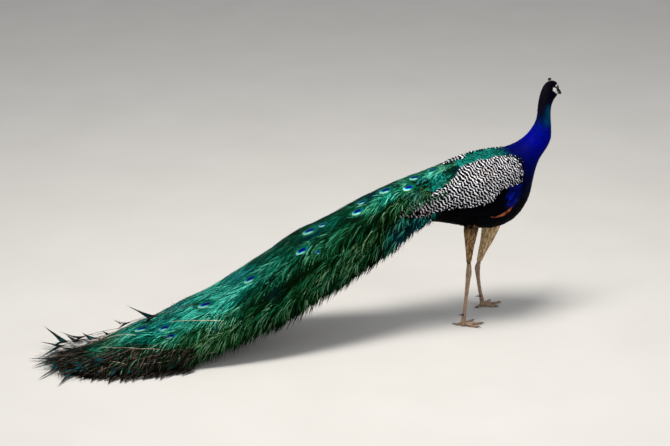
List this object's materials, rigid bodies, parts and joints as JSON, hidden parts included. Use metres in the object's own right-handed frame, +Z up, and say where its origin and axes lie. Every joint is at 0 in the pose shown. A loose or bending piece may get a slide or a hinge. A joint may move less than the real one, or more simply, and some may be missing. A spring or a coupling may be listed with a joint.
{
  "type": "peacock",
  "caption": "Life-size still peacock, walking with its neck up and head turned to its left, the long train arching down behind it to lie on the floor.",
  "frame": {"origin": "bottom centre of the whole bird's box, on the floor", "axes": "+X the way the bird heads, +Y to the bird's left, +Z up"},
  "size_m": [1.8936, 0.4612, 0.8429],
  "materials": {
    "feather_blue": "satin, iridescent blue contour feathers",
    "feather_black": "matt, blue-black belly feathers",
    "feather_barred": "matt, barred black and pale buff",
    "feather_night_blue": "satin, dark blue feathers",
    "feather_chestnut": "matt, chestnut flight feathers",
    "feather_green": "satin, iridescent green train",
    "feather_brown": "matt, dark brown",
    "feather_buff": "matt, pale buff down",
    "leg_scale": "dry, scaly skin",
    "horn": "smooth, half-gloss horn",
    "eye": "wet gloss"
  },
  "bodies": {
    "root": {"bill_lower": "horn", "bill_upper": "horn", "breast": "feather_night_blue", "claw_left_hind": "horn", "claw_left_inner": "horn", "claw_left_middle": "horn", "claw_left_outer": "horn", "claw_right_hind": "horn", "claw_right_inner": "horn", "claw_right_middle": "horn", "claw_right_outer": "horn", "crest": "feather_blue", "eye_left": "eye", "eye_right": "eye", "foot_left": "leg_scale", "foot_right": "leg_scale", "head": "feather_blue", "neck_lower": "feather_blue", "neck_middle": "feather_blue", "neck_upper": "feather_blue", "rump": "feather_brown", "shank_left": "leg_scale", "shank_right": "leg_scale", "spur_left": "horn", "spur_right": "horn", "tail": "feather_brown", "thigh_left": "feather_buff", "thigh_right": "feather_buff", "train_lower_left": "feather_green", "train_lower_right": "feather_green", "train_middle_left": "feather_green", "train_middle_right": "feather_green", "train_plume_01": "feather_night_blue", "train_plume_02": "feather_night_blue", "train_plume_03": "feather_night_blue", "train_plume_04": "feather_night_blue", "train_plume_05": "feather_night_blue", "train_plume_06": "feather_night_blue", "train_plume_07": "feather_night_blue", "train_plume_08": "feather_night_blue", "train_plume_09": "feather_night_blue", "train_plume_10": "feather_night_blue", "train_upper_left": "feather_green", "train_upper_right": "feather_green", "trunk": "feather_black", "wing_left_coverts": "feather_night_blue", "wing_left_flights": "feather_chestnut", "wing_left_scapulars": "feather_barred", "wing_right_coverts": "feather_night_blue", "wing_right_flights": "feather_chestnut", "wing_right_scapulars": "feather_barred"}
  },
  "joints": []
}
